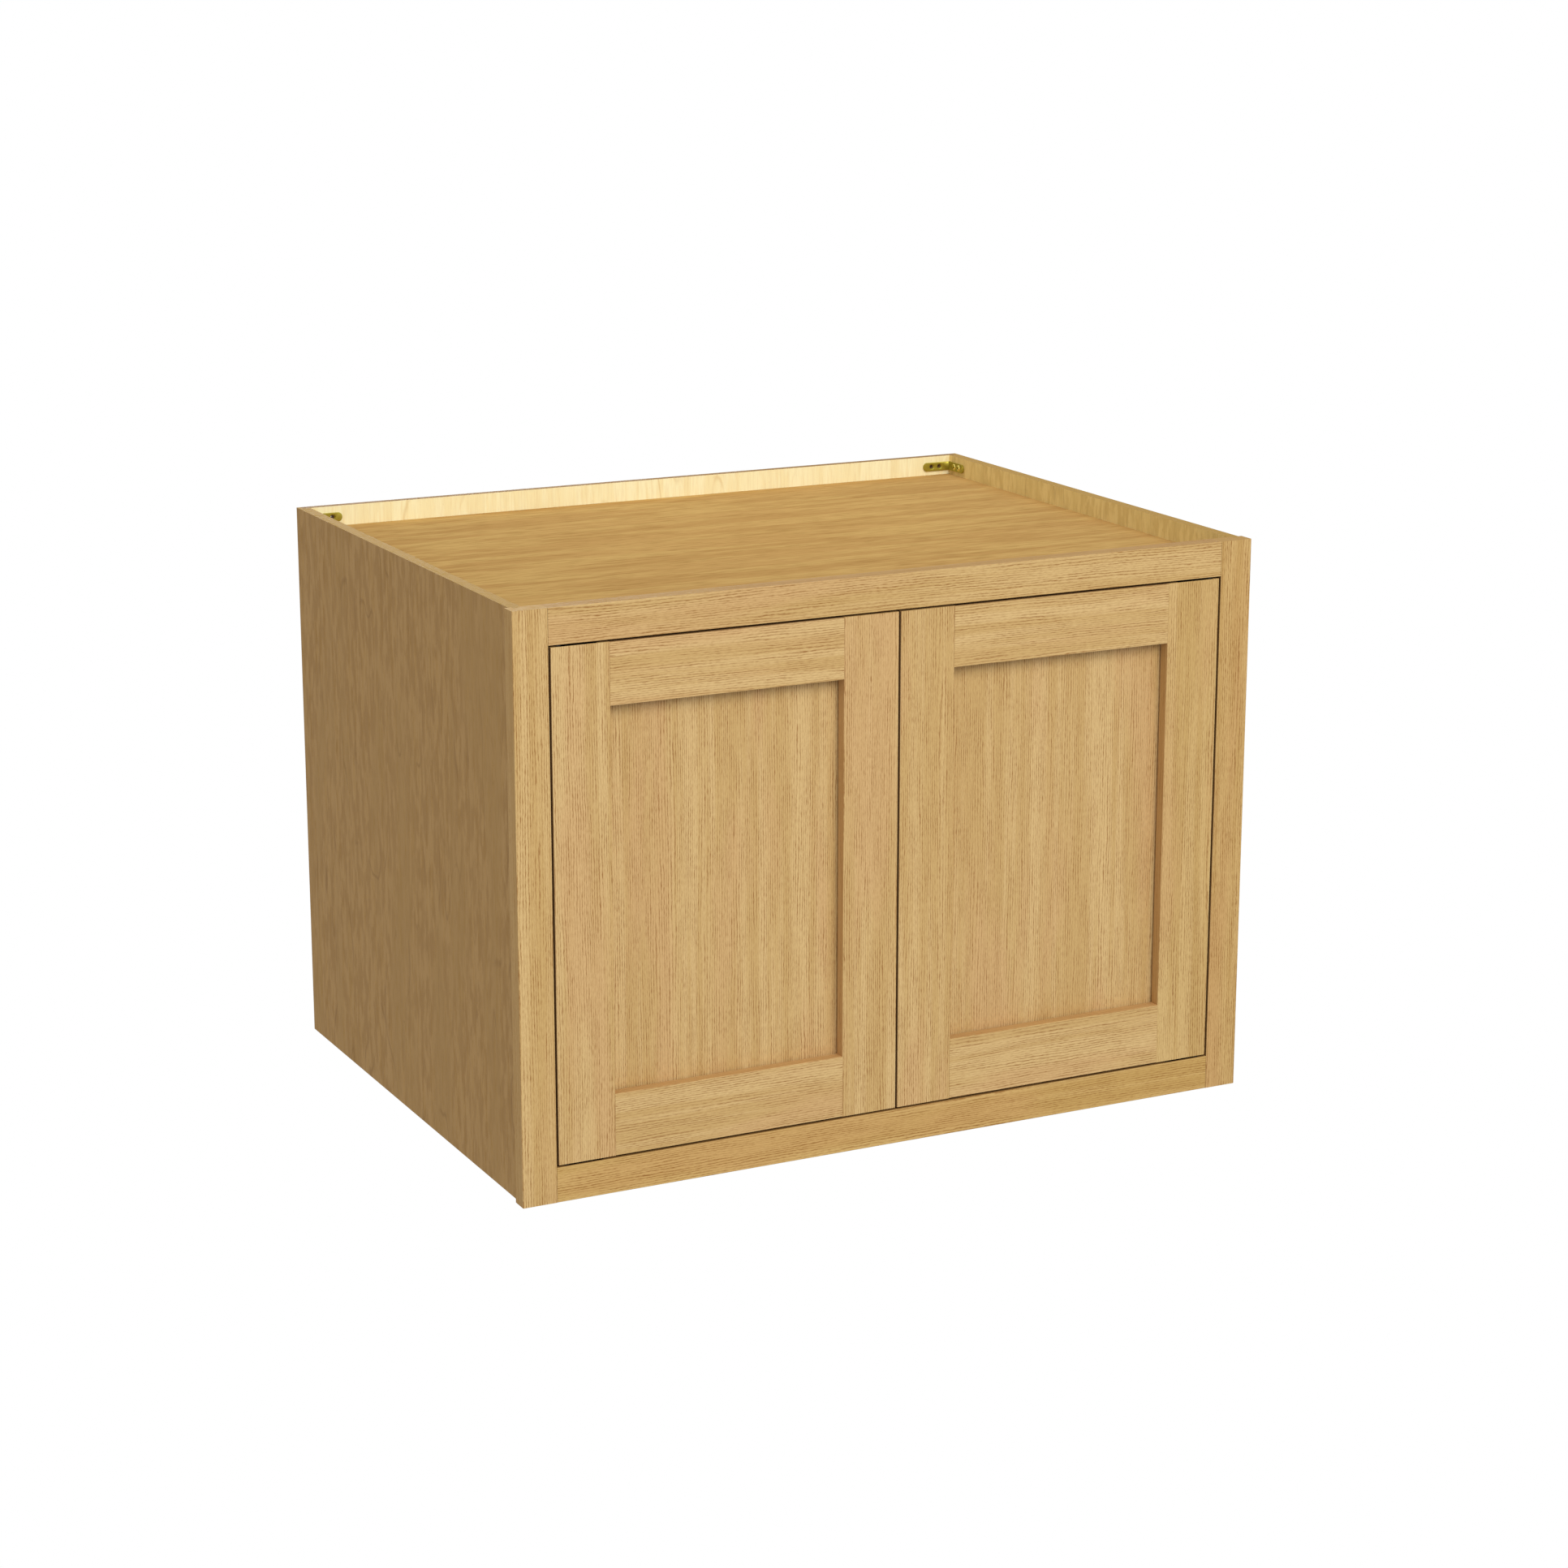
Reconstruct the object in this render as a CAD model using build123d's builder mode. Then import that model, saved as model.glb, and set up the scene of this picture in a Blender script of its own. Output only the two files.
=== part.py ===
from build123d import *
import os

# Hanging wall cabinet with two inset doors. Millimetres.
# X runs left to right, Y from the doors to the wall, Z up; the origin is under the middle of the box.

# Whole cabinet
width = 838.2
height = 603.25
depth = 628.65

# Face frame: two full-height stiles with two rails tenoned between them
frame_thick = 19.05
frame_member = 37.0
tenon_length = 12.0
tenon_thick = 6.35
tenon_shoulder = 6.0
arris = 0.4

# Box
side_overhang = 4.0
side_thick = 12.7
deck_thick = 12.7
back_thick = 9.5
back_rabbet = 8.7
top_recess = 22.2
dado_depth = 4.0
tongue_thick = 6.35
tongue_depth = 6.0
hanging_rail_thick = 19.05
hanging_rail_height = 64.0

# Shelf
shelf_thick = 19.05
shelf_side_gap = 1.5
shelf_front_setback = 25.0
shelf_edging_thick = 5.0
shelf_hole_radius = 2.5
shelf_hole_depth = 8.0
shelf_hole_pitch = 32.0
shelf_hole_rows = 7
shelf_hole_inset = 60.0

# Doors
door_gap = 2.0
door_thick = 19.05
door_stile_width = 62.0
door_top_rail_width = 63.5
door_bottom_rail_width = 65.0
door_lip = 12.0
door_panel_thick = 4.0
rabbet_width = 9.5
shadow_groove_depth = 4.0

# Pivot hinges, let into the door ends and the frame rails
leaf_thick = 2.5
leaf_width = 8.0
leaf_reach = 40.0
leaf_clearance = 0.1
pin_radius = 2.0
pin_running_clearance = 0.05
pivot_from_door_edge = 9.5
pivot_from_door_face = 5.5
leaf_screw_places = (14.0, 30.0)
washer_play = 0.1
washer_inset = 0.3

# Corner brackets above the top panel
bracket_leg = 36.0
bracket_thick = 2.0
bracket_height = 10.0
bracket_end_radius = 4.8
bracket_hole_radius = 2.2
bracket_hole_sink_radius = 3.5
bracket_hole_places = (14.5, 25.0)
bracket_above_top = 5.0

# Magnetic catch
catch_length = 60.0
catch_depth = 15.0
catch_height = 14.0
magnet_length = 18.0
magnet_height = 7.0
magnet_depth = 8.0
magnet_from_end = 2.0
magnet_from_below = 3.0
catch_corner_radius = 2.0
catch_notch_half = 9.0
catch_web = 6.0
catch_gap = 0.3
strike_thick = 1.2
strike_length = 22.0
strike_height = 9.0
strike_corner_radius = 1.5
strike_from_meeting_edge = 7.0
strike_from_top = 1.0

# Worked out from the sizes above
front = -depth / 2
frame_back = front + frame_thick
back_inside = depth / 2 - back_thick
side_outside = width / 2 - side_overhang
side_inside = side_outside - side_thick
opening_edge = width / 2 - frame_member
rail_low = height - frame_member
top_face = height - top_recess
top_underside = top_face - deck_thick
bottom_face = frame_member
bottom_underside = bottom_face - deck_thick
door_outer_edge = opening_edge - door_gap
door_inner_edge = door_gap / 2
door_low = frame_member + door_gap
door_high = rail_low - door_gap
pivot_x = door_outer_edge - pivot_from_door_edge
pivot_y = front + pivot_from_door_face
bracket_low = top_face + bracket_above_top
bracket_middle = bracket_low + bracket_height / 2
sides = (("left", -1), ("right", 1))

# Screw shape, as shares of the head radius, the head depth and the shank radius
recess_share = 1.1
recess_width_share = 0.264
recess_depth_share = 0.7
point_share = 2

os.makedirs("parts", exist_ok=True)


def save(piece, name):
    piece.part.label = name
    export_step(piece.part, f"parts/{name}.step")


def board(x_span, y_span, z_span, mode=Mode.ADD):
    middle = tuple((low + high) / 2 for low, high in (x_span, y_span, z_span))
    size = tuple(abs(high - low) for low, high in (x_span, y_span, z_span))
    with Locations(middle):
        Box(*size, mode=mode)


def front_long_edges(piece, axis):
    return piece.faces().sort_by(Axis.Y)[0].edges().filter_by(axis)


def place(origin, away):
    # A location at origin whose +Z points away from the material
    return Plane(origin=origin, z_dir=away).location


def screw(head_radius, shank_radius, length):
    # Countersunk wood screw, head face at Z = 0, with a cross recess
    head_depth = head_radius - shank_radius
    recess_length = head_radius * recess_share
    recess_width = head_radius * recess_width_share
    with BuildPart() as shape:
        with BuildSketch(Plane.XZ):
            with BuildLine():
                Polyline(
                    (0, 0),
                    (head_radius, 0),
                    (shank_radius, -head_depth),
                    (shank_radius, -length + point_share * shank_radius),
                    (0, -length),
                    close=True,
                )
            make_face()
        revolve(axis=Axis.Z)
        for turn in (0, 90):
            with BuildSketch(Plane.XY):
                Rectangle(recess_length, recess_width, rotation=turn)
            extrude(amount=-head_depth * recess_depth_share, mode=Mode.SUBTRACT)
    return shape.part


def screw_group(name, screw_shape, places):
    with BuildPart() as group:
        with Locations(*places):
            add(screw_shape)
    save(group, name)


def pilot_holes(places, radius, hole_depth):
    with Locations(*places):
        Hole(radius, hole_depth)


def sunk_holes(places, radius, head_radius, hole_depth):
    with Locations(*places):
        CounterSinkHole(radius, head_radius, hole_depth, counter_sink_angle=90)


# Screws and where they go
pilot_clearance = 0.05
pilot_spare = 0.5
leaf_screw_head = 3.0
leaf_screw_shank = 1.5
leaf_screw_length = 16.0
bracket_screw_head = 3.9
bracket_screw_shank = 1.9
bracket_screw_length = 11.0
back_screw_head = 4.0
back_screw_shank = 2.0
back_screw_length = 28.0
catch_screw_length = 12.0
strike_screw_length = 10.0
strike_screw_head = leaf_screw_shank + strike_thick

leaf_screw = screw(leaf_screw_head, leaf_screw_shank, leaf_screw_length)
bracket_screw = screw(bracket_screw_head, bracket_screw_shank, bracket_screw_length)
back_screw = screw(back_screw_head, back_screw_shank, back_screw_length)
catch_screw = screw(leaf_screw_head, leaf_screw_shank, catch_screw_length)
strike_screw = screw(strike_screw_head, leaf_screw_shank, strike_screw_length)

side_middle = side_outside - side_thick / 2
back_edge = side_inside + back_rabbet
back_screw_x = side_inside + back_rabbet / 2
back_screw_rows = (60.0, 215.0, 370.0, 525.0)
rail_screw_columns = (-240.0, 0.0, 240.0)
back_side_places = [
    place((sign * back_screw_x, depth / 2, z), (0, 1, 0)) for name, sign in sides for z in back_screw_rows
]
lower_rail_middle = bottom_face + hanging_rail_height / 2
upper_rail_middle = top_underside - hanging_rail_height / 2
back_rail_places = [
    place((x, depth / 2, z), (0, 1, 0))
    for x in rail_screw_columns
    for z in (lower_rail_middle, upper_rail_middle)
]
back_screw_places = back_side_places + back_rail_places


def wall_hole_places(sign):
    return [
        place((sign * (side_inside - reach), back_inside - bracket_thick, bracket_middle), (0, -1, 0))
        for reach in bracket_hole_places
    ]


def bracket_screw_places(sign):
    return [
        place((sign * (side_inside - bracket_thick), back_inside - reach, bracket_middle), (-sign, 0, 0))
        for reach in bracket_hole_places
    ]


def frame_leaf_screw_places(sign, level, up):
    # On the frame leaf's open face, which looks towards the door
    return [place((sign * (pivot_x - reach), pivot_y, level), (0, 0, -up)) for reach in leaf_screw_places]


def door_leaf_screw_places(sign, level, up):
    # On the door leaf's open face, which looks towards the frame rail
    return [place((sign * (pivot_x - reach), pivot_y, level), (0, 0, up)) for reach in leaf_screw_places]


# up is 1 at the top of a door and -1 at its foot
ends = (("upper", 1, rail_low, door_high), ("lower", -1, frame_member, door_low))


# Face frame
for side_name, sign in sides:
    with BuildPart() as frame_stile:
        board(
            (sign * opening_edge, sign * width / 2),
            (front, frame_back),
            (0, height),
        )
        chamfer(front_long_edges(frame_stile, Axis.Z), arris)
        for low in (0, rail_low):
            board(
                (sign * opening_edge, sign * (opening_edge + tenon_length)),
                (front + tenon_thick, front + 2 * tenon_thick),
                (low + tenon_shoulder, low + frame_member - tenon_shoulder),
                mode=Mode.SUBTRACT,
            )
        board(
            (sign * (side_middle - tongue_thick / 2), sign * (side_middle + tongue_thick / 2)),
            (frame_back - tongue_depth, frame_back),
            (0, height),
            mode=Mode.SUBTRACT,
        )
    save(frame_stile, f"face_frame_{side_name}_stile")

for end_name, up, edge_level, door_level in ends:
    low = rail_low if up > 0 else 0
    rail_name = "top" if up > 0 else "bottom"
    leaf_floor = edge_level + up * leaf_thick
    with BuildPart() as frame_rail:
        board((-opening_edge, opening_edge), (front, frame_back), (low, low + frame_member))
        chamfer(front_long_edges(frame_rail, Axis.X), arris)
        board(
            (-opening_edge - tenon_length, opening_edge + tenon_length),
            (front + tenon_thick, front + 2 * tenon_thick),
            (low + tenon_shoulder, low + frame_member - tenon_shoulder),
        )
        for side_name, sign in sides:
            with BuildSketch(Plane.XY.offset(edge_level)):
                with Locations((sign * pivot_x, pivot_y)):
                    Circle(leaf_width / 2 + leaf_clearance)
                with Locations((sign * (pivot_x - leaf_reach / 2), pivot_y)):
                    Rectangle(leaf_reach + 2 * leaf_clearance, leaf_width + 2 * leaf_clearance)
            extrude(amount=up * leaf_thick, mode=Mode.SUBTRACT)
            pilot_holes(
                frame_leaf_screw_places(sign, leaf_floor, up),
                leaf_screw_shank + pilot_clearance,
                leaf_screw_length,
            )
    save(frame_rail, f"face_frame_{rail_name}_rail")

# Box sides
shelf_row_start = height / 2 - (shelf_hole_rows - 1) / 2 * shelf_hole_pitch
shelf_rows = [shelf_row_start + row * shelf_hole_pitch for row in range(shelf_hole_rows)]
shelf_columns = (frame_back + shelf_hole_inset, back_inside - hanging_rail_thick - shelf_hole_inset)
shelf_pin_level = shelf_rows[shelf_hole_rows // 2]
for side_name, sign in sides:
    inner_holes = [
        place((sign * side_inside, y, z), (-sign, 0, 0)) for y in shelf_columns for z in shelf_rows
    ]
    bracket_pilots = [
        place((sign * side_inside, back_inside - reach, bracket_middle), (-sign, 0, 0))
        for reach in bracket_hole_places
    ]
    rear_pilots = [place((sign * back_screw_x, back_inside, z), (0, 1, 0)) for z in back_screw_rows]
    rear_pilot_depth = back_screw_length - back_thick + pilot_spare
    with BuildPart() as side_panel:
        board((sign * side_inside, sign * side_outside), (frame_back, depth / 2), (0, height))
        board(
            (sign * side_inside, sign * back_edge),
            (back_inside, depth / 2),
            (0, height),
            mode=Mode.SUBTRACT,
        )
        board(
            (sign * (side_middle - tongue_thick / 2), sign * (side_middle + tongue_thick / 2)),
            (frame_back - tongue_depth, frame_back),
            (0, height),
        )
        for deck_low in (bottom_underside, top_underside):
            board(
                (sign * side_inside, sign * (side_inside + dado_depth)),
                (frame_back, back_inside),
                (deck_low, deck_low + deck_thick),
                mode=Mode.SUBTRACT,
            )
        pilot_holes(inner_holes, shelf_hole_radius, shelf_hole_depth)
        pilot_holes(bracket_pilots, bracket_screw_shank + pilot_clearance, bracket_screw_length)
        pilot_holes(rear_pilots, back_screw_shank + pilot_clearance, rear_pilot_depth)
    save(side_panel, f"{side_name}_side_panel")

# Top and bottom panels, held in the sides' dados
catch_pilot_depth = catch_screw_length - catch_web + pilot_spare
catch_middle_y = frame_back + strike_thick + catch_gap + catch_depth / 2
catch_screw_x = 4.0
catch_screw_level = top_underside - catch_web
catch_screw_places = [
    place((x, catch_middle_y, catch_screw_level), (0, 0, -1)) for x in (-catch_screw_x, catch_screw_x)
]
catch_pilots = [
    place((x, catch_middle_y, top_underside), (0, 0, -1)) for x in (-catch_screw_x, catch_screw_x)
]
for deck_name, deck_low in (("bottom_panel", bottom_underside), ("top_panel", top_underside)):
    with BuildPart() as deck:
        board(
            (-side_inside - dado_depth, side_inside + dado_depth),
            (frame_back, back_inside),
            (deck_low, deck_low + deck_thick),
        )
        if deck_name == "top_panel":
            pilot_holes(catch_pilots, leaf_screw_shank + pilot_clearance, catch_pilot_depth)
    save(deck, deck_name)

# Back panel, set in the sides' rabbets and screwed to the sides and to both hanging rails
with BuildPart() as back_panel:
    board((-back_edge, back_edge), (back_inside, depth / 2), (0, height))
    sunk_holes(back_screw_places, back_screw_shank + pilot_clearance, back_screw_head, back_thick)
    for side_name, sign in sides:
        wall_places = [
            place((sign * (side_inside - reach), back_inside, bracket_middle), (0, -1, 0))
            for reach in bracket_hole_places
        ]
        pilot_holes(wall_places, bracket_hole_radius, back_thick)
save(back_panel, "back_panel")

for rail_name, rail_middle in (("upper", upper_rail_middle), ("lower", lower_rail_middle)):
    with BuildPart() as hanging_rail:
        board(
            (-side_inside, side_inside),
            (back_inside - hanging_rail_thick, back_inside),
            (rail_middle - hanging_rail_height / 2, rail_middle + hanging_rail_height / 2),
        )
        rail_pilots = [place((x, back_inside, rail_middle), (0, 1, 0)) for x in rail_screw_columns]
        pilot_holes(rail_pilots, back_screw_shank + pilot_clearance, back_screw_length - back_thick)
    save(hanging_rail, f"{rail_name}_hanging_rail")

screw_group("back_panel_screws", back_screw, back_screw_places)

# Adjustable shelf with a solid front edging, on four pins
shelf_low = shelf_pin_level + shelf_hole_radius
shelf_front = frame_back + shelf_front_setback
shelf_back = back_inside - hanging_rail_thick - shelf_side_gap
shelf_half = side_inside - shelf_side_gap
with BuildPart() as shelf:
    board(
        (-shelf_half, shelf_half),
        (shelf_front + shelf_edging_thick, shelf_back),
        (shelf_low, shelf_low + shelf_thick),
    )
save(shelf, "adjustable_shelf")

with BuildPart() as shelf_edging:
    board(
        (-shelf_half, shelf_half),
        (shelf_front, shelf_front + shelf_edging_thick),
        (shelf_low, shelf_low + shelf_thick),
    )
    chamfer(front_long_edges(shelf_edging, Axis.X), arris)
save(shelf_edging, "shelf_edging")

pin_plate_length = 11.0
pin_plate_width = 9.0
pin_plate_thick = 2.0
pin_collar_thick = 1.2
pin_collar_height = 7.5
with BuildPart() as shelf_pins:
    for side_name, sign in sides:
        for y in shelf_columns:
            wall = Plane(origin=(sign * side_inside, y, shelf_pin_level), z_dir=(sign, 0, 0))
            with BuildSketch(wall):
                Circle(shelf_hole_radius - pin_running_clearance)
            extrude(amount=shelf_hole_depth - pilot_spare)
            board(
                (sign * (side_inside - pin_collar_thick), sign * side_inside),
                (y - pin_plate_width / 2, y + pin_plate_width / 2),
                (shelf_low - pin_collar_height, shelf_low),
            )
            board(
                (sign * (side_inside - pin_plate_length), sign * side_inside),
                (y - pin_plate_width / 2, y + pin_plate_width / 2),
                (shelf_low - pin_plate_thick, shelf_low),
            )
save(shelf_pins, "shelf_pins")

# Corner brackets: one leg screwed to the side, the other drilled for the wall screws
for side_name, sign in sides:
    with BuildPart() as bracket:
        with BuildSketch(Plane.XZ.offset(-back_inside)):
            with Locations((sign * (side_inside - bracket_leg / 2), bracket_middle)):
                Rectangle(bracket_leg, bracket_height)
        extrude(amount=bracket_thick)
        with BuildSketch(Plane.YZ.offset(sign * side_inside)):
            with Locations((back_inside - bracket_leg / 2, bracket_middle)):
                Rectangle(bracket_leg, bracket_height)
        extrude(amount=-sign * bracket_thick)
        back_leg_end = bracket.faces().sort_by(Axis.X)[0 if sign > 0 else -1]
        fillet(back_leg_end.edges().filter_by(Axis.Y), bracket_end_radius)
        side_leg_end = bracket.faces().sort_by(Axis.Y)[0]
        fillet(side_leg_end.edges().filter_by(Axis.X), bracket_end_radius)
        sunk_holes(wall_hole_places(sign), bracket_hole_radius, bracket_hole_sink_radius, bracket_thick)
        sunk_holes(
            bracket_screw_places(sign),
            bracket_screw_shank + pilot_clearance,
            bracket_screw_head,
            bracket_thick,
        )
    save(bracket, f"{side_name}_corner_bracket")
screw_group("bracket_screws", bracket_screw, bracket_screw_places(-1) + bracket_screw_places(1))

# Double magnetic catch under the top panel, behind the meeting edges of the doors
catch_front = catch_middle_y - catch_depth / 2
magnet_middle_x = catch_length / 2 - magnet_length / 2 - magnet_from_end
magnet_low = top_underside - catch_height + magnet_from_below
magnet_spans = [
    (
        (sign * magnet_middle_x - magnet_length / 2, sign * magnet_middle_x + magnet_length / 2),
        (catch_front, catch_front + magnet_depth),
        (magnet_low, magnet_low + magnet_height),
    )
    for side_name, sign in sides
]
with BuildPart() as catch_housing:
    board(
        (-catch_length / 2, catch_length / 2),
        (catch_front, catch_front + catch_depth),
        (top_underside - catch_height, top_underside),
    )
    fillet(catch_housing.edges().filter_by(Axis.Z), catch_corner_radius)
    for spans in magnet_spans:
        board(*spans, mode=Mode.SUBTRACT)
    board(
        (-catch_notch_half, catch_notch_half),
        (catch_front, catch_front + catch_depth),
        (top_underside - catch_height, catch_screw_level),
        mode=Mode.SUBTRACT,
    )
    sunk_holes(catch_screw_places, leaf_screw_shank + pilot_clearance, leaf_screw_head, catch_web)
save(catch_housing, "catch_housing")

with BuildPart() as catch_magnets:
    for spans in magnet_spans:
        board(*spans)
save(catch_magnets, "catch_magnets")
screw_group("catch_screws", catch_screw, catch_screw_places)

# Pivot hinges: frame leaves with their pins and washers
for side_name, sign in sides:
    for end_name, up, edge_level, door_level in ends:
        with BuildPart() as frame_leaf:
            with BuildSketch(Plane.XY.offset(edge_level)):
                with Locations((sign * pivot_x, pivot_y)):
                    Circle(leaf_width / 2)
                with Locations((sign * (pivot_x - leaf_reach / 2), pivot_y)):
                    Rectangle(leaf_reach, leaf_width)
                with Locations((sign * pivot_x, pivot_y)):
                    Circle(pin_radius, mode=Mode.SUBTRACT)
            extrude(amount=up * leaf_thick)
            sunk_holes(
                frame_leaf_screw_places(sign, edge_level, up),
                leaf_screw_shank + pilot_clearance,
                leaf_screw_head,
                leaf_thick,
            )
        save(frame_leaf, f"{side_name}_{end_name}_frame_leaf")

pin_length = 2 * leaf_thick + door_gap
washer_thick = door_gap - washer_play
with BuildPart() as hinge_pins:
    for side_name, sign in sides:
        for end_name, up, edge_level, door_level in ends:
            with BuildSketch(Plane.XY.offset(edge_level + up * leaf_thick)):
                with Locations((sign * pivot_x, pivot_y)):
                    Circle(pin_radius)
            extrude(amount=-up * pin_length)
save(hinge_pins, "hinge_pins")

with BuildPart() as hinge_washers:
    for side_name, sign in sides:
        for end_name, up, edge_level, door_level in ends:
            with BuildSketch(Plane.XY.offset(edge_level)):
                with Locations((sign * pivot_x, pivot_y)):
                    Circle(leaf_width / 2 - washer_inset)
                    Circle(pin_radius + pin_running_clearance, mode=Mode.SUBTRACT)
            extrude(amount=-up * washer_thick)
save(hinge_washers, "hinge_washers")

frame_screw_places = [
    spot
    for side_name, sign in sides
    for end_name, up, edge_level, door_level in ends
    for spot in frame_leaf_screw_places(sign, edge_level, up)
]
screw_group("frame_leaf_screws", leaf_screw, frame_screw_places)

# Doors
stile_inner_x = door_outer_edge - door_stile_width
meeting_stile_x = door_inner_edge + door_stile_width
door_back = front + door_thick
panel_front = door_back - door_panel_thick
rail_rows = (
    ("top_rail", door_high - door_top_rail_width, door_high),
    ("bottom_rail", door_low, door_low + door_bottom_rail_width),
)
recess_low = rail_rows[1][2]
recess_high = rail_rows[0][1]
strike_high = door_high - strike_from_top
strike_low = strike_high - strike_height
strike_near = door_inner_edge + strike_from_meeting_edge
strike_middle_x = strike_near + strike_length / 2
strike_middle_z = (strike_low + strike_high) / 2


def stile_joints(sign, shoulder_x, away):
    # Mortises for both rails, the rabbet for the panel and the shadow groove in front of it;
    # away is +1 towards the cabinet's side
    for rail_name, low, high in rail_rows:
        board(
            (sign * shoulder_x, sign * (shoulder_x + away * tenon_length)),
            (front + tenon_thick / 2, front + tenon_thick * 1.5),
            (low + tenon_shoulder, high - tenon_shoulder),
            mode=Mode.SUBTRACT,
        )
    board(
        (sign * shoulder_x, sign * (shoulder_x + away * rabbet_width)),
        (panel_front, door_back),
        (recess_low - rabbet_width, recess_high + rabbet_width),
        mode=Mode.SUBTRACT,
    )
    board(
        (sign * shoulder_x, sign * (shoulder_x + away * shadow_groove_depth)),
        (front + door_lip, panel_front),
        (recess_low, recess_high),
        mode=Mode.SUBTRACT,
    )


for side_name, sign in sides:
    with BuildPart() as hinge_stile:
        board((sign * stile_inner_x, sign * door_outer_edge), (front, door_back), (door_low, door_high))
        chamfer(front_long_edges(hinge_stile, Axis.Z), arris)
        stile_joints(sign, stile_inner_x, 1)
        for end_name, up, edge_level, door_level in ends:
            with BuildSketch(Plane.XY.offset(door_level)):
                with Locations((sign * pivot_x, pivot_y)):
                    Circle(leaf_width / 2 + leaf_clearance)
                with Locations((sign * (pivot_x - leaf_reach / 2), pivot_y)):
                    Rectangle(leaf_reach + 2 * leaf_clearance, leaf_width + 2 * leaf_clearance)
            extrude(amount=-up * leaf_thick, mode=Mode.SUBTRACT)
            pilot_holes(
                door_leaf_screw_places(sign, door_level - up * leaf_thick, up),
                leaf_screw_shank + pilot_clearance,
                leaf_screw_length,
            )
    save(hinge_stile, f"{side_name}_door_hinge_stile")

    strike_place = place((sign * strike_middle_x, door_back, strike_middle_z), (0, 1, 0))
    with BuildPart() as meeting_stile:
        board((sign * door_inner_edge, sign * meeting_stile_x), (front, door_back), (door_low, door_high))
        chamfer(front_long_edges(meeting_stile, Axis.Z), arris)
        stile_joints(sign, meeting_stile_x, -1)
        pilot_holes([strike_place], leaf_screw_shank + pilot_clearance, strike_screw_length)
    save(meeting_stile, f"{side_name}_door_meeting_stile")

    for rail_name, low, high in rail_rows:
        with BuildPart() as door_rail:
            board((sign * meeting_stile_x, sign * stile_inner_x), (front, door_back), (low, high))
            chamfer(front_long_edges(door_rail, Axis.X), arris)
            board(
                (sign * (meeting_stile_x - tenon_length), sign * (stile_inner_x + tenon_length)),
                (front + tenon_thick / 2, front + tenon_thick * 1.5),
                (low + tenon_shoulder, high - tenon_shoulder),
            )
            edge, inward = (high, -1) if low == door_low else (low, 1)
            board(
                (sign * meeting_stile_x, sign * stile_inner_x),
                (panel_front, door_back),
                (edge, edge + inward * rabbet_width),
                mode=Mode.SUBTRACT,
            )
            board(
                (sign * meeting_stile_x, sign * stile_inner_x),
                (front + door_lip, panel_front),
                (edge, edge + inward * shadow_groove_depth),
                mode=Mode.SUBTRACT,
            )
        save(door_rail, f"{side_name}_door_{rail_name}")

    with BuildPart() as door_panel:
        board(
            (sign * (meeting_stile_x - rabbet_width), sign * (stile_inner_x + rabbet_width)),
            (panel_front, door_back),
            (recess_low - rabbet_width, recess_high + rabbet_width),
        )
    save(door_panel, f"{side_name}_door_panel")

    for end_name, up, edge_level, door_level in ends:
        with BuildPart() as door_leaf:
            with BuildSketch(Plane.XY.offset(door_level)):
                with Locations((sign * pivot_x, pivot_y)):
                    Circle(leaf_width / 2)
                with Locations((sign * (pivot_x - leaf_reach / 2), pivot_y)):
                    Rectangle(leaf_reach, leaf_width)
                with Locations((sign * pivot_x, pivot_y)):
                    Circle(pin_radius + pin_running_clearance, mode=Mode.SUBTRACT)
            extrude(amount=-up * leaf_thick)
            sunk_holes(
                door_leaf_screw_places(sign, door_level, up),
                leaf_screw_shank + pilot_clearance,
                leaf_screw_head,
                leaf_thick,
            )
        save(door_leaf, f"{side_name}_{end_name}_door_leaf")

    screw_places = [
        spot
        for end_name, up, edge_level, door_level in ends
        for spot in door_leaf_screw_places(sign, door_level, up)
    ]
    screw_group(f"{side_name}_door_leaf_screws", leaf_screw, screw_places)

    strike_face = place((sign * strike_middle_x, door_back + strike_thick, strike_middle_z), (0, 1, 0))
    with BuildPart() as strike:
        board(
            (sign * strike_near, sign * (strike_near + strike_length)),
            (door_back, door_back + strike_thick),
            (strike_low, strike_high),
        )
        fillet(strike.edges().filter_by(Axis.Y), strike_corner_radius)
        sunk_holes([strike_face], leaf_screw_shank + pilot_clearance, strike_screw_head, strike_thick)
    save(strike, f"{side_name}_door_strike")
    screw_group(f"{side_name}_strike_screw", strike_screw, [strike_face])
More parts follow.
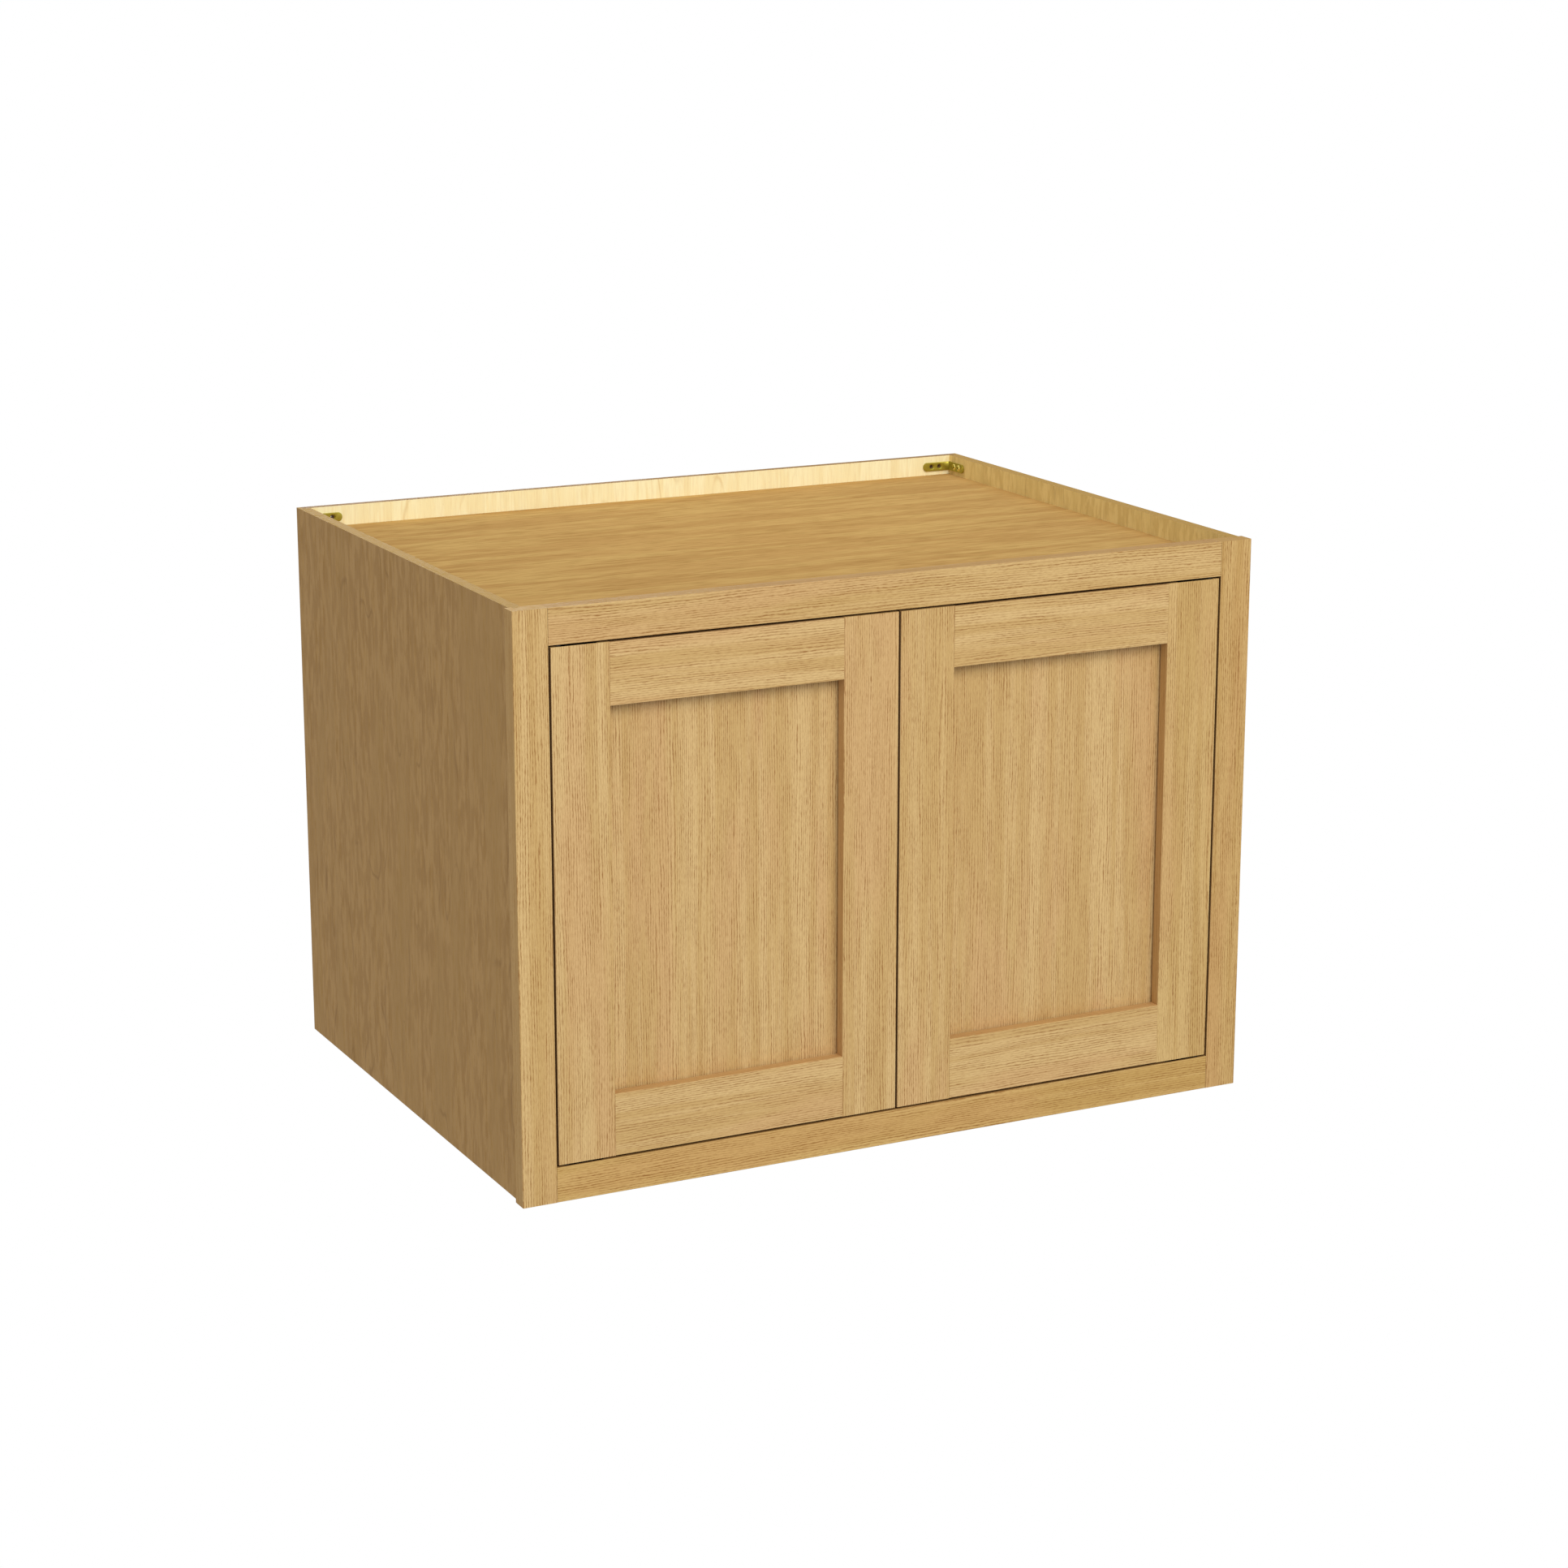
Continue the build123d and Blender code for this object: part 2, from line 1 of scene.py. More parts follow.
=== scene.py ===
import bmesh
import bpy
from math import pi, radians
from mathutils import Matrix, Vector


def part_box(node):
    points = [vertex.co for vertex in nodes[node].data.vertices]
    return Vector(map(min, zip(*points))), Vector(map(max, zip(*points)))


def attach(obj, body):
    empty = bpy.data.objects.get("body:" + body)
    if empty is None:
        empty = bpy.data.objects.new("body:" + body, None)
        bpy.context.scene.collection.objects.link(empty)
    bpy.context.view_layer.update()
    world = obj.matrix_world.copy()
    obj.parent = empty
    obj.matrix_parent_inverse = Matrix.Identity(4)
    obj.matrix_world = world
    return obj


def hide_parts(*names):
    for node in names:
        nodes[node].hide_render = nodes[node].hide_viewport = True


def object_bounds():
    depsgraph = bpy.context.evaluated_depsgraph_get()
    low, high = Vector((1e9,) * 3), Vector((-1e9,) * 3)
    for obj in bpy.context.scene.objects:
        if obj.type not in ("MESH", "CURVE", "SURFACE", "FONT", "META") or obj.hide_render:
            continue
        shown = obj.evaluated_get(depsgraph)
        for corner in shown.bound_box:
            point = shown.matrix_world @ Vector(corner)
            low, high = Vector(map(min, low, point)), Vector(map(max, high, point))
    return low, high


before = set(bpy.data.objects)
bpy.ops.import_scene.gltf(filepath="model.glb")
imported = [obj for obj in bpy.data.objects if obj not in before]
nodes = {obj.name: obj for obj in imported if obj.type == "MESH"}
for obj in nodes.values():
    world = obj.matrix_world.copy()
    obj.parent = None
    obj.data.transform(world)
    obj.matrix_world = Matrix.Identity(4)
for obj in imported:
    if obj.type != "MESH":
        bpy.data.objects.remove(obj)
cadBox = [list(corner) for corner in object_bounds()]
lowCorner = Vector(cadBox[0])
mm = 0.001
print("frame loaded:", len(nodes), "nodes")


def linearColour(hexCode):
    parts = [int(hexCode[i:i + 2], 16) / 255 for i in (1, 3, 5)]
    return [c / 12.92 if c <= 0.04045 else ((c + 0.055) / 1.055) ** 2.4 for c in parts] + [1.0]


def addNode(tree, kind, inputs=None, links=None, **settings):
    node = tree.nodes.new(kind)
    for key, value in settings.items():
        setattr(node, key, value)
    for key, value in (inputs or {}).items():
        node.inputs[key].default_value = value
    for key, source in (links or {}).items():
        tree.links.new(source, node.inputs[key])
    return node


def mathNode(tree, operation, *values):
    node = addNode(tree, "ShaderNodeMath", operation=operation)
    for index, value in enumerate(values):
        if isinstance(value, float):
            node.inputs[index].default_value = value
        else:
            tree.links.new(value, node.inputs[index])
    return node.outputs["Value"]


# camera, the lens and place solved from the cabinet's own edges
cameraSet = {
    "lens": 81.86,  # mm
    "sensor": 36.0,  # mm
    "reach": 100.0,  # metres
    "turn": -26.66,  # degrees, seen from the left
    "lift": 14.49,  # degrees, seen from above
    "place": (-1.25587, -3.0767, 1.2907),  # metres from the frame's front bottom left corner
}


def makeCamera():
    data = bpy.data.cameras.new("studioCamera")
    data.lens = cameraSet["lens"]
    data.sensor_width = cameraSet["sensor"]
    data.clip_end = cameraSet["reach"]
    camera = bpy.data.objects.new("studioCamera", data)
    bpy.context.scene.collection.objects.link(camera)
    camera.location = Vector(cameraSet["place"]) + lowCorner
    camera.rotation_euler = (radians(90 - cameraSet["lift"]), 0, radians(cameraSet["turn"]))
    bpy.context.scene.camera = camera


# light: a soft key from the front and above, weaker lamps at the left and behind, a small one
# over the back edge that warms the top panel, and an even pale room round it all
lightSet = {
    "key": {"place": (0.2, -5.5, 4.3), "size": 4.4, "power": 288.0, "colour": "#FFFDF8"},
    "top": {"place": (0.1, 0.33, 1.3), "size": 0.4, "power": 1.3, "colour": "#FFF4DC"},
    "fill": {"place": (-6.2, -0.4, 1.2), "size": 2.4, "power": 30.0, "colour": "#FFFDF8"},
    "rear": {"place": (1.8, 6.4, 0.2), "size": 2.6, "power": 110.0, "colour": "#FFFDF8"},
}
roomSet = {
    "aim": (0, 0, 0.3),  # the lamps point here
    "light": 0.52,  # how much the room gives from all round
    "white": "#FFFFFF",
    "drop": 4.5,  # metres down to the studio floor, so that the underside can be seen
    "half": 26.0,  # metres from the middle to the floor's sides
    "dome": 25.0,  # metres, the radius of the paper round everything
    "domeSegments": 48,
}


def makeLights():
    for name, plan in lightSet.items():
        data = bpy.data.lights.new(name + "Light", "AREA")
        data.shape = "DISK"
        data.size = plan["size"]
        data.energy = plan["power"]
        data.color = linearColour(plan["colour"])[:3]
        lamp = bpy.data.objects.new(name + "Light", data)
        bpy.context.scene.collection.objects.link(lamp)
        lamp.location = plan["place"]
        aim = Vector(roomSet["aim"]) - Vector(plan["place"])
        lamp.rotation_euler = aim.to_track_quat("-Z", "Y").to_euler()
        lamp.visible_camera = False
    world = bpy.data.worlds.new("studioRoom")
    world.use_nodes = True
    background = world.node_tree.nodes["Background"]
    background.inputs["Color"].default_value = linearColour(roomSet["white"])
    background.inputs["Strength"].default_value = roomSet["light"]
    bpy.context.scene.world = world
    bpy.context.scene.view_settings.view_transform = "Standard"


def makeStudio():
    half, drop = roomSet["half"], roomSet["drop"]
    floorMesh = bpy.data.meshes.new("studioFloor")
    corners = [(-half, -half, -drop), (half, -half, -drop), (half, half, -drop), (-half, half, -drop)]
    floorMesh.from_pydata(corners, [], [(0, 1, 2, 3)])
    domeMesh = bpy.data.meshes.new("studioDome")
    shape = bmesh.new()
    segments = roomSet["domeSegments"]
    bmesh.ops.create_uvsphere(shape, u_segments=segments, v_segments=segments // 2, radius=roomSet["dome"])
    bmesh.ops.reverse_faces(shape, faces=shape.faces)
    shape.to_mesh(domeMesh)
    shape.free()
    paper = bpy.data.materials.new("whiteStudioPaper")  # evenly lit paper, so no shadow or horizon shows
    paper.use_nodes = True
    shader = paper.node_tree.nodes["Principled BSDF"]
    shader.inputs["Base Color"].default_value = linearColour("#000000")
    shader.inputs["Specular IOR Level"].default_value = 0.0
    shader.inputs["Emission Color"].default_value = linearColour(roomSet["white"])
    shader.inputs["Emission Strength"].default_value = 1.0
    for mesh in (floorMesh, domeMesh):
        mesh.materials.append(paper)
        sheet = bpy.data.objects.new(mesh.name, mesh)
        bpy.context.scene.collection.objects.link(sheet)
        sheet.visible_diffuse = False
        sheet.visible_glossy = False
        sheet.visible_shadow = False


makeCamera()
makeLights()
makeStudio()
print("camera, lights and studio made")


# wood: a pattern's grain runs along its own Z, after one turn from the board's direction
grainTurns = {"up": (0, 0, 0), "across": (0, radians(90), 0)}
grainAxis = {"up": 2, "across": 0}
whiteOak = {  # golden and pinkish, with close straight ring lines broken up by open pores
    "pale": "#DBBB83",
    "tan": "#CFAD73",
    "pink": "#D6B07C",
    "line": "#9F7140",
    "edge": "#C0935E",
    "gapShade": "#86643E",  # painted shade: the edge that meets its neighbour across a door gap is painted darker, standing in for the shadow in the gap
    "end": "#C7A367",
    "ringGap": 2.5 * mm,  # growth rings of slow rift-sawn oak
    "ringTilt": 0.7,  # how far the rings lean through the board's thickness
    "ringShow": 0.95,
    "ringSway": 11 * mm,
    "bandWidth": 15 * mm,
    "bandLength": 700 * mm,
    "streakWidth": 0.75 * mm,  # open pores, seen as short dashes
    "streakLength": 6 * mm,
    "streakShow": 0.34,
    "contourShow": 0.0,
    "roughness": 0.46,
    "sheen": 0.15,  # strength of the lacquer's reflection
    "bump": 0.5,
}
mapleSide = {  # smooth cloudy brown, with hardly any line in it
    "pale": "#BB945D",
    "tan": "#AD8650",
    "pink": "#B38D56",
    "line": "#805C33",
    "end": "#BD984D",
    "ringGap": 9 * mm,
    "ringTilt": 0.5,
    "ringShow": 0.0,
    "ringSway": 24 * mm,
    "bandWidth": 9 * mm,
    "bandLength": 34 * mm,
    "streakWidth": 1.7 * mm,
    "streakLength": 13 * mm,
    "streakShow": 0.12,
    "contourShow": 0.34,  # thin ring lines that rise and turn over, as on sliced maple
    "roughness": 0.5,
    "sheen": 0.07,
    "bump": 0.15,
}
mapleFace = dict(  # creamy and nearly plain
    mapleSide, pale="#FDF6CC", tan="#F9EDBD", pink="#FAEFC0", line="#D3AC6A", edge="#E9CF9C", end="#8E6C42",
    bandLength=90 * mm, streakLength=26 * mm, streakShow=0.16, contourShow=0.35,
)
mapleLining = [1.67, 2.15, 2.4, 1.0]  # how much paler the sides' inner faces are, as linear light
frameOak = dict(whiteOak, edge="#B58D57", sheen=0.03)  # the same oak with less shine and darker edges
oakDeck = dict(  # veneer with broad soft streaks and no shine
    whiteOak, pale="#CBA769", tan="#BE975D", pink="#C59E63", line="#8F6A35", end="#A8824F",
    ringGap=9 * mm, ringShow=0.26, ringSway=34 * mm, bandWidth=26 * mm, bandLength=210 * mm,
    streakWidth=3.4 * mm, streakLength=30 * mm, streakShow=0.3, sheen=0.0, bump=0.25,
)
oakFloor = dict(oakDeck, pale="#DBBB83", tan="#CFAD73", pink="#D6B07C", sheen=0.15)  # paler, with a shine
woodPattern = {  # what every wood shares: its soft patterns' widths and lengths, and shares
    "shift": (0.731, 0.417, 1.093),  # metres through the pattern from one board to the next
    "plain": (2.0, 0.5),  # each grain of noise is its detail and roughness
    "slow": (1.0, 0.5),
    "fine": (2.0, 0.6),
    "open": (3.0, 0.6),
    "soft": (1.6, 0.4),
    "bandRange": (0.4, 0.6),  # a range is the values between which a pattern comes in
    "blush": (45 * mm, 330 * mm),
    "blushRange": (0.48, 0.66),
    "blushShow": 0.75,
    "wander": (30 * mm, 480 * mm),
    "drift": (11 * mm, 150 * mm),
    "driftSway": 1.9,  # ring gaps
    "tremble": (4 * mm, 20 * mm),
    "trembleSway": 0.8,
    "ringRange": (-0.2, 0.9),
    "fading": (7 * mm, 55 * mm),  # where ring lines grow faint
    "fadingRange": (0.34, 0.64),
    "faintest": 0.28,
    "dashRange": (0.36, 0.62),
    "dashGap": 0.4,
    "streakRange": (0.42, 0.72),
    "contour": (55 * mm, 260 * mm),
    "contourLevels": 6.0,
    "contourThin": 0.06,
    "sparse": (50 * mm, 90 * mm),
    "sparseRange": (0.46, 0.62),
    "fleck": (2.6 * mm, 9 * mm),
    "fleckRange": (0.68, 0.8),
    "plyRange": (-0.4, 0.4),
    "plyStreakRange": (0.4, 0.7),
    "plyShow": 0.2,
    "edgeRange": (0.6, 0.3),  # a narrow edge looks away from the front
    "edgeShow": 0.6,
    "endRange": (0.5, 0.8),
    "endShow": 0.75,
    # how far the painted shade covers an edge beside a door gap
    "gapShadeShow": 0.85,
    "smoother": 0.04,
    "rougher": 0.12,
    "poreShare": 0.5,
    "poreDepth": 0.15 * mm,
    "lacquerIor": 1.48,
}
facingRange = (0.4, 0.6)  # a face counts as turned a way between these shares of its normal


def woodMaterial(name, wood, direction, seed, plies=None, lining=None, gapShade=None, tint=None):
    # lacquered timber: a soft sheen over growth rings and open pores, with plainer edges and ends, and
    # painted shade on the edges beside door gaps
    pattern = woodPattern
    material = bpy.data.materials.new(name)
    material.use_nodes = True
    tree = material.node_tree
    shader = tree.nodes["Principled BSDF"]
    coords = addNode(tree, "ShaderNodeTexCoord")
    board = addNode(
        tree, "ShaderNodeMapping",
        {"Location": [seed * step for step in pattern["shift"]], "Rotation": grainTurns[direction]},
        {"Vector": coords.outputs["Object"]},
    ).outputs["Vector"]

    def math(operation, *values):
        return mathNode(tree, operation, *values)

    def noise(size, grain="plain"):
        width, length = size
        detail, roughness = pattern[grain]
        stretched = addNode(
            tree, "ShaderNodeVectorMath",
            {1: (1 / width, 1 / width, 1 / length)}, {0: board}, operation="MULTIPLY",
        )
        return addNode(
            tree, "ShaderNodeTexNoise", {"Scale": 1.0, "Detail": detail, "Roughness": roughness},
            {"Vector": stretched.outputs["Vector"]},
        ).outputs["Fac"]

    def fade(source, low, high, least=0.0, most=1.0):
        return addNode(
            tree, "ShaderNodeMapRange", {"From Min": low, "From Max": high, "To Min": least, "To Max": most},
            {"Value": source}, interpolation_type="SMOOTHSTEP",
        ).outputs["Result"]

    # a colour Mix node has its factor at input 0, its colours at 6 and 7, and its result at output 2
    def blend(factor, first, second):
        node = addNode(tree, "ShaderNodeMix", data_type="RGBA")
        tree.links.new(factor, node.inputs[0])
        for index, value in ((6, first), (7, second)):
            if isinstance(value, str):
                node.inputs[index].default_value = linearColour(value)
            else:
                tree.links.new(value, node.inputs[index])
        return node.outputs[2]

    def multiplied(source, by):
        return addNode(
            tree, "ShaderNodeMix", {0: 1.0, 7: by}, {6: source}, data_type="RGBA", blend_type="MULTIPLY"
        ).outputs[2]

    # broad bands of colour, then blushes of pink across them
    bands = noise((wood["bandWidth"], wood["bandLength"]), "open")
    base = blend(fade(bands, *pattern["bandRange"]), wood["pale"], wood["tan"])
    blush = fade(noise(pattern["blush"]), *pattern["blushRange"], 0.0, pattern["blushShow"])
    base = blend(blush, base, wood["pink"])
    # growth rings, wandering slowly and trembling finely
    gap = wood["ringGap"]
    leaning = addNode(
        tree, "ShaderNodeVectorMath", {1: (1.0, wood["ringTilt"], 0.0)}, {0: board}, operation="DOT_PRODUCT"
    ).outputs["Value"]
    wander = math("MULTIPLY_ADD", noise(pattern["wander"], "slow"), wood["ringSway"], leaning)
    drift = math("MULTIPLY_ADD", noise(pattern["drift"], "slow"), gap * pattern["driftSway"], wander)
    tremble = math("MULTIPLY_ADD", noise(pattern["tremble"]), gap * pattern["trembleSway"], drift)
    rings = math("SINE", math("MULTIPLY", tremble, 2 * pi / gap))
    # short pore streaks, which also break the ring lines into dashes
    streaks = noise((wood["streakWidth"], wood["streakLength"]), "fine")
    strength = fade(noise(pattern["fading"]), *pattern["fadingRange"], pattern["faintest"])
    dashes = fade(streaks, *pattern["dashRange"], pattern["dashGap"])
    ringLines = math("MULTIPLY", math("MULTIPLY", fade(rings, *pattern["ringRange"]), strength), dashes)
    pores = math("MULTIPLY", fade(streaks, *pattern["streakRange"]), wood["streakShow"])
    colour = blend(pores, base, wood["line"])
    colour = blend(math("MULTIPLY", ringLines, wood["ringShow"]), colour, wood["line"])
    if wood["contourShow"] > 0:
        contour = noise(pattern["contour"], "soft")
        level = math("FRACT", math("MULTIPLY", contour, pattern["contourLevels"]))
        fromLine = math("ABSOLUTE", math("SUBTRACT", level, 0.5))
        thin = fade(fromLine, 0.0, pattern["contourThin"], 1.0, 0.0)
        sparse = fade(noise(pattern["sparse"]), *pattern["sparseRange"])
        contours = math("MULTIPLY", math("MULTIPLY", thin, sparse), wood["contourShow"])
        colour = blend(contours, colour, wood["line"])
        flecks = fade(noise(pattern["fleck"]), *pattern["fleckRange"], 0.0, wood["contourShow"])
        colour = blend(flecks, colour, wood["line"])
    facing = addNode(tree, "ShaderNodeSeparateXYZ", {}, {0: coords.outputs["Normal"]})
    if plies:  # a plywood edge shows its layers
        axis, thickness, layers, middle = plies
        place = addNode(tree, "ShaderNodeSeparateXYZ", {}, {0: coords.outputs["Object"]}).outputs[axis]
        wave = math("SINE", math("MULTIPLY", math("SUBTRACT", place, middle), pi * layers / thickness))
        layered = fade(wave, *pattern["plyRange"], 0.0, pattern["plyShow"])
        edge = blend(layered, wood["end"], wood["line"])
        streaked = fade(streaks, *pattern["plyStreakRange"], 0.0, pattern["plyShow"])
        edge = blend(streaked, edge, wood["line"])
        colour = blend(fade(math("ABSOLUTE", facing.outputs[axis]), *facingRange), edge, colour)
    else:  # a board's narrow edges are plainer than its face, and a sawn end has its own colour
        face = math("ABSOLUTE", facing.outputs["Y"])
        plainer = fade(face, *pattern["edgeRange"], 0.0, pattern["edgeShow"])
        colour = blend(plainer, colour, wood["edge"])
        sawn = math("ABSOLUTE", facing.outputs[grainAxis[direction]])
        colour = blend(fade(sawn, *pattern["endRange"], 0.0, pattern["endShow"]), colour, wood["end"])
    if gapShade:  # painted shade: the edge beside a door gap is painted darker, standing in for the shadow in the gap
        axis, outward = gapShade
        turned = math("MULTIPLY", facing.outputs[axis], outward)
        colour = blend(fade(turned, *facingRange, 0.0, pattern["gapShadeShow"]), colour, wood["gapShade"])
    if lining:  # the face towards the inside carries paler veneer
        axis, inward, paler = lining
        turned = math("MULTIPLY", facing.outputs[axis], inward)
        colour = blend(fade(turned, *facingRange), colour, multiplied(colour, paler))
    if tint:  # no two boards are quite the same colour
        colour = multiplied(colour, linearColour(tint))
    tree.links.new(colour, shader.inputs["Base Color"])
    smoothest, roughest = wood["roughness"] - pattern["smoother"], wood["roughness"] + pattern["rougher"]
    tree.links.new(fade(ringLines, 0.0, 1.0, smoothest, roughest), shader.inputs["Roughness"])
    height = math("MULTIPLY_ADD", streaks, -pattern["poreShare"], math("MULTIPLY", ringLines, -1.0))
    bump = addNode(
        tree, "ShaderNodeBump", {"Strength": wood["bump"], "Distance": pattern["poreDepth"]},
        {"Height": height},
    )
    tree.links.new(bump.outputs["Normal"], shader.inputs["Normal"])
    shader.inputs["IOR"].default_value = pattern["lacquerIor"]
    shader.inputs["Specular IOR Level"].default_value = wood["sheen"]
    return material


metalPattern = {
    "mottle": 260.0,  # patches in a metre
    "detail": 4.0,
    "mottleRoughness": 0.6,
    "smoother": 0.08,
    "rougher": 0.1,
    "bump": 0.08,
    "depth": 0.05 * mm,
}


def metalMaterial(name, colour, dark, roughness, metallic=1.0):
    # fine mottling in tint and gloss over a faintly uneven surface
    pattern = metalPattern
    material = bpy.data.materials.new(name)
    material.use_nodes = True
    tree = material.node_tree
    shader = tree.nodes["Principled BSDF"]
    coords = addNode(tree, "ShaderNodeTexCoord")
    mottle = addNode(
        tree, "ShaderNodeTexNoise",
        {"Scale": pattern["mottle"], "Detail": pattern["detail"], "Roughness": pattern["mottleRoughness"]},
        {"Vector": coords.outputs["Object"]},
    )
    tint = addNode(tree, "ShaderNodeMix", {6: linearColour(colour), 7: linearColour(dark)}, data_type="RGBA")
    tree.links.new(mottle.outputs["Fac"], tint.inputs[0])
    tree.links.new(tint.outputs[2], shader.inputs["Base Color"])
    gloss = addNode(
        tree, "ShaderNodeMapRange",
        {"To Min": roughness - pattern["smoother"], "To Max": roughness + pattern["rougher"]},
        {"Value": mottle.outputs["Fac"]},
    )
    tree.links.new(gloss.outputs["Result"], shader.inputs["Roughness"])
    shader.inputs["Metallic"].default_value = metallic
    bump = addNode(
        tree, "ShaderNodeBump", {"Strength": pattern["bump"], "Distance": pattern["depth"]},
        {"Height": mottle.outputs["Fac"]},
    )
    tree.links.new(bump.outputs["Normal"], shader.inputs["Normal"])
    return material


def dress(name, material):
    mesh = nodes[name].data
    mesh.materials.clear()
    mesh.materials.append(material)


boards = {  # wood, grain, then the axis and way its door gap edge faces, which takes the painted gap shade
    "face_frame_left_stile": (frameOak, "up", (0, 1.0)),
    "face_frame_right_stile": (frameOak, "up", (0, -1.0)),
    "face_frame_top_rail": (frameOak, "across", (2, -1.0)),
    "face_frame_bottom_rail": (frameOak, "across", (2, 1.0)),
    "shelf_edging": (whiteOak, "across", None),
    "upper_hanging_rail": (mapleFace, "across", None),
    "lower_hanging_rail": (mapleFace, "across", None),
}
for side, out in (("left", -1.0), ("right", 1.0)):
    boards[side + "_door_hinge_stile"] = (whiteOak, "up", (0, out))
    boards[side + "_door_meeting_stile"] = (whiteOak, "up", (0, -out))
    boards[side + "_door_top_rail"] = (whiteOak, "across", (2, 1.0))
    boards[side + "_door_bottom_rail"] = (whiteOak, "across", (2, -1.0))
    boards[side + "_door_panel"] = (whiteOak, "up", None)
boardTints = {  # boards that are a little darker and warmer than the rest
    "face_frame_right_stile": "#F4EFE4",
    "face_frame_bottom_rail": "#F7F2E0",
    "face_frame_top_rail": "#FBFAF8",
    "right_door_hinge_stile": "#FAF9F1",
}
for number, (name, (wood, direction, gapShade)) in enumerate(boards.items()):
    kind = "lacqueredMaple." if wood is mapleFace else "lacqueredOak."
    tint = boardTints.get(name)
    dress(name, woodMaterial(kind + name, wood, direction, number + 1, gapShade=gapShade, tint=tint))

sheets = {  # wood, grain, the axis through the sheet and its number of plies
    "left_side_panel": (mapleSide, "up", 0, 9),
    "right_side_panel": (mapleSide, "up", 0, 9),
    "top_panel": (oakDeck, "across", 2, 9),
    "bottom_panel": (oakFloor, "across", 2, 9),
    "back_panel": (mapleFace, "up", 1, 7),
    "adjustable_shelf": (mapleFace, "across", 2, 13),
}
sheetSeed = 31  # the sheets' patterns start past the boards' own
inwardWays = {"left_side_panel": 1.0, "right_side_panel": -1.0}
for number, (name, (wood, direction, axis, layers)) in enumerate(sheets.items()):
    low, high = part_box(name)
    plies = (axis, high[axis] - low[axis], layers, (high[axis] + low[axis]) / 2)
    lining = (axis, inwardWays[name], mapleLining) if name in inwardWays else None
    dress(name, woodMaterial("plywood." + name, wood, direction, number + sheetSeed, plies, lining))
print("boards and sheets dressed")

metals = {  # colour, darker patches, roughness, and how metallic where that isn't 1
    # a greenish gold plate, cloudy enough that only its edges flash
    "yellowZinc": metalMaterial("yellowZincPlatedSteel", "#BCB048", "#A19536", 0.42, 0.75),
    # painted highlight: the same plate painted near white and glossier on the raised screw heads, standing
    # in for the bright spots of light they catch
    "brightYellowZinc": metalMaterial("yellowZincPaintedHighlight", "#FFF7A0", "#F3E780", 0.25, 0.9),
    # a cool grey shine
    "clearZinc": metalMaterial("zincPlatedSteel", "#D3D6D8", "#B4B8BB", 0.32),
    # nearly black, with a dull oily glint, so the hinges sink into the door gaps
    "blackSteel": metalMaterial("oilBlackenedSteel", "#2B2724", "#1B1816", 0.42),
    # bare grey faces that reflect softly
    "groundSteel": metalMaterial("groundSteel", "#B9BABB", "#8F9092", 0.28),
    # a slightly warm, clear shine
    "nickel": metalMaterial("nickelPlatedSteel", "#D6D1C6", "#BDB8AC", 0.26),
    # satin brown that takes the light without a metal's reflection
    "brownPlastic": metalMaterial("mouldedBrownPlastic", "#6E4A30", "#5D3D27", 0.5, 0.0),
    # matt black
    "blackAcetal": metalMaterial("mouldedBlackAcetal", "#161412", "#0E0D0C", 0.45, 0.0),
}
mergeDistance = 0.001 * mm


def mergedCopy(name):
    # a CAD node's triangles stand loose, so a copy is merged before it is shaped further
    shape = bmesh.new()
    shape.from_mesh(nodes[name].data)
    bmesh.ops.remove_doubles(shape, verts=shape.verts, dist=mergeDistance)
    return shape


def addPiece(name, mesh, material, body, slotName, *stoodFor):
    mesh.materials.clear()
    mesh.materials.append(material)
    piece = bpy.data.objects.new(name, mesh)
    bpy.context.scene.collection.objects.link(piece)
    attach(piece, body)
    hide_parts(*stoodFor)
    return piece


# plates and pins keep their CAD shape and gain the small rounded edges that catch the light
softened = {  # node: (edge radius in mm, finish, slot, body)
    "left_corner_bracket": (0.35, "yellowZinc", "yellow_zinc_steel", "cabinet"),
    "right_corner_bracket": (0.35, "yellowZinc", "yellow_zinc_steel", "cabinet"),
    "shelf_pins": (0.4, "nickel", "nickel_steel", "cabinet"),
    "catch_housing": (0.5, "brownPlastic", "catch_plastic", "cabinet"),
    "catch_magnets": (0.3, "groundSteel", "magnet_steel", "cabinet"),
    "hinge_pins": (0.3, "blackSteel", "hinge_pin_steel", "cabinet"),
    "hinge_washers": (0.15, "blackAcetal", "black_acetal_washer", "cabinet"),
    "left_door_strike": (0.2, "clearZinc", "strike_steel", "left_door"),
    "right_door_strike": (0.2, "clearZinc", "strike_steel", "right_door"),
}
for side in ("left", "right"):
    for end in ("upper", "lower"):
        for owner, body in (("frame", "cabinet"), ("door", side + "_door")):
            softened[f"{side}_{end}_{owner}_leaf"] = (0.2, "blackSteel", "blackened_hinge_steel", body)
roundingSet = {
    "steps": 3,
    "flat": 1,  # degrees, below which two faces are one
    "sharp": 40,  # degrees, above which an edge is rounded
}


def softenPiece(name, radius, finish, slotName, body):
    shape = mergedCopy(name)
    flat = radians(roundingSet["flat"])
    bmesh.ops.dissolve_limit(shape, angle_limit=flat, verts=shape.verts, edges=shape.edges)
    mesh = bpy.data.meshes.new(name + ".soft")
    shape.to_mesh(mesh)
    shape.free()
    piece = addPiece(name + ".soft", mesh, metals[finish], body, slotName, name)
    bevel = piece.modifiers.new("roundedEdges", "BEVEL")
    bevel.width = radius * mm
    bevel.segments = roundingSet["steps"]
    bevel.limit_method = "ANGLE"
    bevel.angle_limit = radians(roundingSet["sharp"])
    bevel.harden_normals = True
    for face in mesh.polygons:
        face.use_smooth = True


for name, plan in softened.items():
    softenPiece(name, *plan)
print("plates and pins softened:", len(softened))


